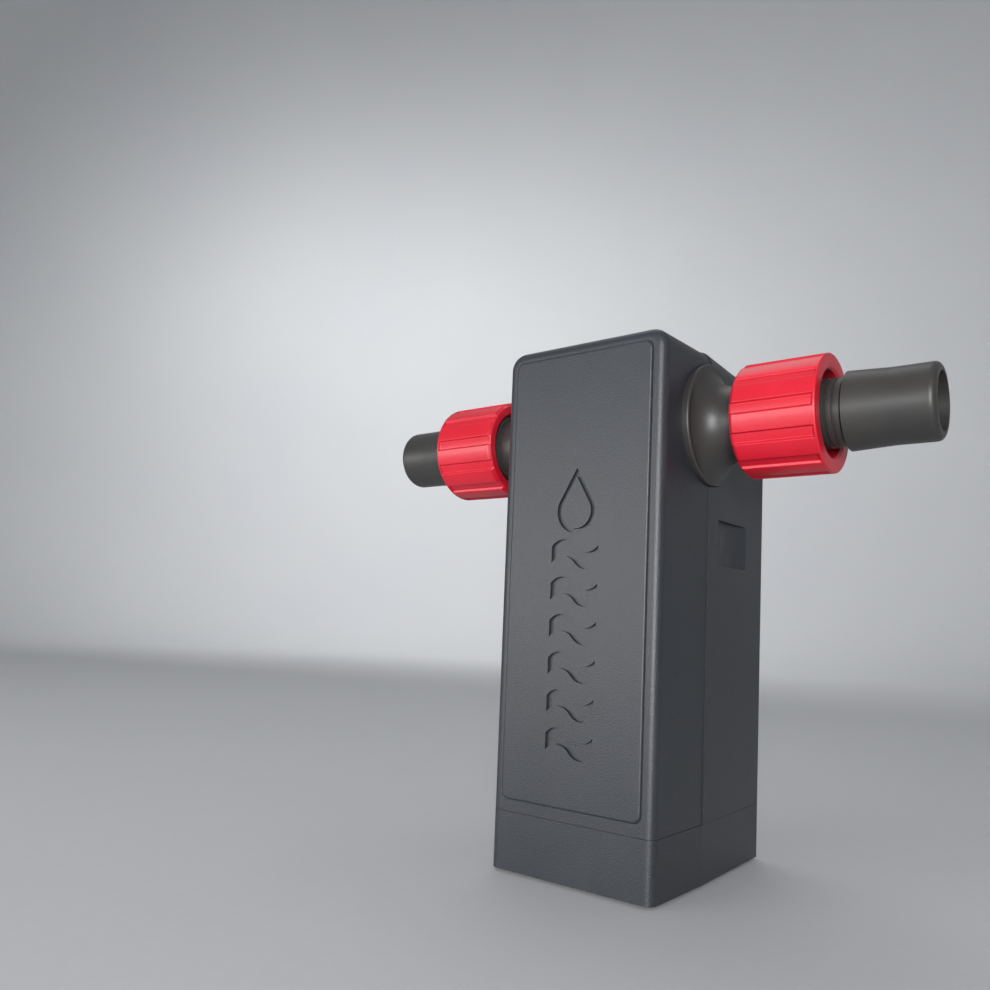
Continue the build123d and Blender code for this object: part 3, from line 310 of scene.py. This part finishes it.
def worked_metal_group():
    """Plated or drawn metal: fine stretched streaks in gloss and height, with dull patches."""
    group, given, out = group_frame(
        "worked_metal",
        [
            ("Colour", "Color", (0.6, 0.6, 0.6, 1.0)),
            ("Dull Colour", "Color", (0.4, 0.4, 0.4, 1.0)),
            ("Streak Scale", "Float", 900.0),
            ("Roughness", "Float", 0.3),
            ("Roughness Spread", "Float", 0.3),
        ],
        [("Colour", "Color"), ("Roughness", "Float"), ("Normal", "Vector")],
    )
    place = put(group, "ShaderNodeTexCoord").outputs["Object"]
    drawn = put(group, "ShaderNodeMapping", [(place, "Vector")], in_Scale=(1.0, 1.0, 0.15))
    streak = put(
        group,
        "ShaderNodeTexNoise",
        [(drawn.outputs[0], "Vector"), (given["Streak Scale"], "Scale")],
        in_Detail=3.0,
    )
    patch = put(group, "ShaderNodeTexNoise", [(place, "Vector")], in_Scale=350.0, in_Detail=3.0)
    blend = put(
        group,
        "ShaderNodeMix",
        [
            (patch.outputs["Fac"], MIX_FACTOR),
            (given["Colour"], MIX_FROM),
            (given["Dull Colour"], MIX_TO),
        ],
        data_type="RGBA",
    )
    group.links.new(blend.outputs[MIX_COLOUR], out["Colour"])
    uneven_gloss(group, streak, given, out)
    bump = put(
        group,
        "ShaderNodeBump",
        [(streak.outputs["Fac"], "Height")],
        in_Strength=0.15,
        in_Distance=FINE_RELIEF,
    )
    group.links.new(bump.outputs["Normal"], out["Normal"])
    return group


MOULDED_SKIN = moulded_skin_group()
WORKED_METAL = worked_metal_group()


def new_material(name):
    """An empty material, its node tree and its shader."""
    material = bpy.data.materials.new(name)
    material.use_nodes = True
    tree = material.node_tree
    return material, tree, tree.nodes["Principled BSDF"]


def finish_from(group, name, values, **shader_values):
    """A material whose colour, roughness and normal come from one placed group.

    What is the same all over the piece is set on the shader itself.
    """
    material, tree, shader = new_material(name)
    placed = put(tree, "ShaderNodeGroup", node_tree=group)
    for label, value in values.items():
        placed.inputs[label].default_value = value
    tree.links.new(placed.outputs["Colour"], shader.inputs["Base Color"])
    tree.links.new(placed.outputs["Roughness"], shader.inputs["Roughness"])
    tree.links.new(placed.outputs["Normal"], shader.inputs["Normal"])
    for label, value in shader_values.items():
        shader.inputs[label.replace("_", " ")].default_value = value
    return material


def plastic(name, colour, cloud, roughness, grain_scale, grain_strength, grain_tint=0.05, **shader_values):
    """Moulded plastic in one colour that clouds towards another."""
    values = {
        "Colour": (*colour, 1.0),
        "Cloud Colour": (*cloud, 1.0),
        "Roughness": roughness,
        "Grain Scale": grain_scale,
        "Grain Strength": grain_strength,
        "Grain Tint": grain_tint,
    }
    return finish_from(MOULDED_SKIN, name, values, **shader_values)


def metal(name, colour, dull, roughness):
    """Plated or drawn metal in one colour with duller patches."""
    values = {"Colour": (*colour, 1.0), "Dull Colour": (*dull, 1.0), "Roughness": roughness}
    return finish_from(WORKED_METAL, name, values, Metallic=1.0)


def clear_glass(name, colour, roughness, bending):
    """Clear tube glass with faint draw lines."""
    material, tree, shader = new_material(name)
    place = put(tree, "ShaderNodeTexCoord").outputs["Object"]
    drawn = put(tree, "ShaderNodeMapping", [(place, "Vector")], in_Scale=(1.0, 1.0, 0.03))
    lines = put(
        tree,
        "ShaderNodeTexNoise",
        [(drawn.outputs[0], "Vector")],
        in_Scale=700.0,
        in_Detail=2.0,
    )
    bump = put(
        tree,
        "ShaderNodeBump",
        [(lines.outputs["Fac"], "Height")],
        in_Strength=0.05,
        in_Distance=FINE_RELIEF,
    )
    tree.links.new(bump.outputs["Normal"], shader.inputs["Normal"])
    shader.inputs["Base Color"].default_value = (*colour, 1.0)
    shader.inputs["Roughness"].default_value = roughness
    shader.inputs["IOR"].default_value = bending
    shader.inputs["Transmission Weight"].default_value = 1.0
    return material


def solder_mask():
    """Green lacquer over copper: square-cornered paths show lighter and a little raised."""
    material, tree, shader = new_material("solder_mask")
    place = put(tree, "ShaderNodeTexCoord").outputs["Object"]
    tracks = put(
        tree,
        "ShaderNodeTexVoronoi",
        [(place, "Vector")],
        feature="F1",
        distance="CHEBYCHEV",
        in_Scale=230.0,
        in_Randomness=0.8,
    )
    lane = put(
        tree,
        "ShaderNodeMath",
        [(tracks.outputs["Distance"], 0)],
        [(1, 0.22)],
        operation="PINGPONG",
    )
    edge = put(
        tree,
        "ShaderNodeMapRange",
        [(lane.outputs[0], "Value")],
        in_From_Min=0.09,
        in_From_Max=0.13,
    )
    blend = put(
        tree,
        "ShaderNodeMix",
        [(edge.outputs["Result"], MIX_FACTOR)],
        [(MIX_FROM, (0.012, 0.085, 0.035, 1.0)), (MIX_TO, (0.035, 0.19, 0.07, 1.0))],
        data_type="RGBA",
    )
    bump = put(
        tree,
        "ShaderNodeBump",
        [(edge.outputs["Result"], "Height")],
        in_Strength=0.4,
        in_Distance=TRACK_HEIGHT,
    )
    tree.links.new(blend.outputs[MIX_COLOUR], shader.inputs["Base Color"])
    tree.links.new(bump.outputs["Normal"], shader.inputs["Normal"])
    shader.inputs["Roughness"].default_value = 0.28
    return material


def floor_paint():
    """Pale studio paper with a hardly visible cloudiness."""
    values = {
        "Colour": (0.62, 0.63, 0.64, 1.0),
        "Cloud Colour": (0.60, 0.61, 0.63, 1.0),
        "Cloud Scale": 3.0,
        "Roughness": 0.7,
        "Roughness Spread": 0.05,
        "Grain Scale": 300.0,
        "Grain Strength": 0.05,
        "Grain Tint": 0.01,
    }
    return finish_from(MOULDED_SKIN, "studio_paper", values)


# ---------------------------------------------------------------- finishes of the carried-over nodes
# colour, the colour that it clouds towards, roughness, grain scale, grain strength and, where it isn't
# the usual one, grain tint
MOULDED = {
    "housing_grey": ((0.020, 0.023, 0.028), (0.024, 0.027, 0.033), 0.40, 2800.0, 0.40, 0.22),
    "nozzle_black": ((0.026, 0.025, 0.024), (0.032, 0.030, 0.028), 0.42, 3200.0, 0.08, 0.04),
    "grip_ring": ((0.76, 0.74, 0.68), (0.70, 0.68, 0.61), 0.35, 1200.0, 0.08),
    "chamber_black": ((0.020, 0.021, 0.023), (0.028, 0.029, 0.031), 0.45, 2000.0, 0.25),
    "baffle": ((0.62, 0.63, 0.63), (0.55, 0.56, 0.56), 0.42, 1500.0, 0.12),
    "gland_red": ((0.42, 0.012, 0.024), (0.50, 0.018, 0.034), 0.38, 1500.0, 0.12),
    "seal_rubber": ((0.016, 0.016, 0.017), (0.026, 0.026, 0.027), 0.72, 2600.0, 0.30),
    "foot_rubber": ((0.022, 0.022, 0.023), (0.034, 0.034, 0.035), 0.78, 1800.0, 0.45),
    "lamp_white": ((0.78, 0.78, 0.75), (0.72, 0.72, 0.68), 0.30, 1400.0, 0.06),
    "ferrite": ((0.035, 0.035, 0.038), (0.060, 0.060, 0.064), 0.62, 2400.0, 0.6, 0.2),
    "winding_tape": ((0.72, 0.42, 0.04), (0.60, 0.33, 0.03), 0.25, 900.0, 0.12),
    "capacitor_can": ((0.03, 0.05, 0.11), (0.04, 0.06, 0.13), 0.28, 1500.0, 0.06),
    "film_block": ((0.45, 0.07, 0.02), (0.38, 0.05, 0.02), 0.25, 800.0, 0.20),
    "chip_black": ((0.018, 0.018, 0.019), (0.026, 0.026, 0.027), 0.52, 3000.0, 0.35),
    "lead_sheath": ((0.022, 0.022, 0.025), (0.030, 0.030, 0.033), 0.45, 2000.0, 0.15),
    "jack_black": ((0.018, 0.018, 0.020), (0.026, 0.026, 0.028), 0.30, 2200.0, 0.08),
    "bracket_grey": ((0.040, 0.046, 0.055), (0.048, 0.055, 0.065), 0.52, 2000.0, 0.45, 0.12),
}
FINISHES = {name: plastic(name, *values) for name, values in MOULDED.items()}
FINISHES["nut_red"] = plastic(
    "nut_red", (0.47, 0.005, 0.018), (0.53, 0.008, 0.025), 0.38, 1500.0, 0.10, 0.03, Coat_Weight=0.12
)
FINISHES["quartz"] = clear_glass("quartz", (0.97, 0.99, 1.0), 0.02, 1.46)
FINISHES["lamp_glass"] = clear_glass("lamp_glass", (0.93, 0.97, 1.0), 0.08, 1.50)
FINISHES["contact_brass"] = metal("contact_brass", (0.80, 0.58, 0.24), (0.55, 0.38, 0.16), 0.28)
FINISHES["steel"] = metal("steel", (0.62, 0.62, 0.64), (0.42, 0.42, 0.45), 0.32)
FINISHES["board_green"] = solder_mask()


def dress_frame():
    """Every carried-over node gets the finish of its own material slot."""
    for entry in frame["record"]["subparts"]:
        piece = nodes[entry["node"]]
        piece.data.materials.clear()
        piece.data.materials.append(FINISHES[entry["material_slot"]])


# ---------------------------------------------------------------- lock nuts
LOBES = 12
LOBE_TURN = 360.0 / LOBES
GROOVE_HALF = 5.5  # degrees
GROOVE_SOFTNESS = 0.9  # degrees
GROOVE_DEPTH = 0.65 * MM
GROOVE_PHASE = 1.8  # degrees
COLLAR = 0.7 * MM
MOUTH_CHAMFER = 1.0 * MM
THREAD_PITCH = 3.0 * MM
THREAD_HEIGHT = 0.6 * MM
THREAD_FROM = 1.8 * MM
THREAD_TURNS = 2.0
THREAD_LEAD_SIGN = -1.0
THREAD_ROWS = 72
NUT_BORE = 10.6 * MM
BORE_CHAMFER = 0.9 * MM
RIM_CHAMFER = 0.6 * MM
RING_POCKET = (11.5 * MM, 16.7 * MM, 12.55 * MM)  # start, end and radius


def nut_angles():
    """Angles round the nut, crowded at the groove flanks, and each one's angle from its groove's centre."""
    flank = np.linspace(GROOVE_HALF - 1.4, GROOVE_HALF + 1.4, 9)
    floor = np.linspace(0.0, GROOVE_HALF - 1.8, 4)[1:]
    crest = np.linspace(8.0, LOBE_TURN / 2, 5)
    half = np.concatenate((floor, flank, crest))
    local = np.concatenate((-half[::-1][1:], [0.0], half))
    turns = np.arange(LOBES)[:, None] * LOBE_TURN
    angle = np.radians((turns + local[None, :] + GROOVE_PHASE).ravel())
    return angle, np.tile(np.abs(local), LOBES)


def lock_nut(port, side):
    """A ribbed nut: a rounded closed profile carried round the nozzle axis.

    Its outer radius is held under the radius less the groove depth inside twelve soft-edged grooves, which
    run out in the chamfer at the mouth and stop short of the outer collar. Its bore rises inward along a
    right-hand helix: a soft-edged ridge whose place along the axis moves one pitch for each turn.
    """
    low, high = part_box(f"{port}_lock_nut")
    radius = (high.z - low.z) / 2
    seat, end = sorted((abs(low.x), abs(high.x)))
    length = end - seat
    pocket_start, pocket_end, pocket_radius = RING_POCKET
    corners = np.array([
        (0.0, radius - MOUTH_CHAMFER), (MOUTH_CHAMFER, radius), (0.5 * length, radius),
        (length - 1.6 * MM, radius), (length - COLLAR, radius), (length, radius),
        (length, NUT_BORE + RIM_CHAMFER), (length - RIM_CHAMFER, NUT_BORE),
        (pocket_end, NUT_BORE), (pocket_end, pocket_radius), (pocket_start, pocket_radius),
        (pocket_start, NUT_BORE), (BORE_CHAMFER, NUT_BORE), (0.0, NUT_BORE + BORE_CHAMFER),
    ])
    rounding = np.array([0.25, 0.3, 0.3, 0.3, 0.2, 0.4, 0.15, 0.2, 0.1, 0.1, 0.1, 0.1, 0.2, 0.2]) * MM
    outline = round_profile(corners, rounding)
    bore_stretch = np.linspace(pocket_start - 0.15 * MM, 1.15 * MM, THREAD_ROWS)
    bore = np.stack((bore_stretch, np.full(THREAD_ROWS, NUT_BORE)), axis=1)
    corners_before_bore = 12
    cut = CORNER_STEPS * corners_before_bore
    outline = np.concatenate((outline[:cut], bore, outline[cut:]))

    angle, from_groove = nut_angles()
    s, r = outline[:, :1], outline[:, 1:]
    softness = (GROOVE_HALF - GROOVE_SOFTNESS, GROOVE_HALF + GROOVE_SOFTNESS)
    groove = 1.0 - smooth_step(from_groove, *softness)
    groove_end = length - COLLAR
    open_end = 1.0 - smooth_step(s, groove_end - 0.25 * MM, groove_end + 0.15 * MM)
    sunk = GROOVE_DEPTH * groove[None, :] * open_end
    turn_of_helix = np.mod(angle, 2 * math.pi) * side / (2 * math.pi)
    along = (s - THREAD_FROM) / THREAD_PITCH + turn_of_helix[None, :] * side * THREAD_LEAD_SIGN
    from_ridge = np.abs(along - np.round(along)) * THREAD_PITCH
    turn = np.round(along)
    on_bore = r < NUT_BORE + 0.05 * MM
    inside = (turn >= 0) & (turn <= THREAD_TURNS) & on_bore
    ridge = THREAD_HEIGHT * (1.0 - smooth_step(from_ridge, 0.40 * MM, 0.78 * MM)) * inside
    fade_in = smooth_step(s, 1.1 * MM, 1.5 * MM)
    fade_out = 1.0 - smooth_step(s, 8.0 * MM, 9.0 * MM)
    ridge = ridge * fade_in * fade_out
    reach = np.minimum(r, radius - sunk) - ridge
    x = side * (seat + s) * np.ones_like(reach)
    y = AXIS_Y - reach * np.cos(angle)[None, :]
    z = AXIS_Z + reach * np.sin(angle)[None, :]
    grid = np.stack((x, y, z), axis=-1)
    nut = surface(f"{port}_ribbed_nut", grid if side > 0 else grid[::-1], wrap_u=True, wrap_v=True)
    nut.data.materials.append(FINISHES["nut_red"])
    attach(nut, f"{port}_nut")
    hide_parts(f"{port}_lock_nut")


bpy.context.scene.view_settings.view_transform = "Standard"
add_camera()
add_studio()
dress_frame()
lock_nut("inlet", -1)
lock_nut("outlet", 1)
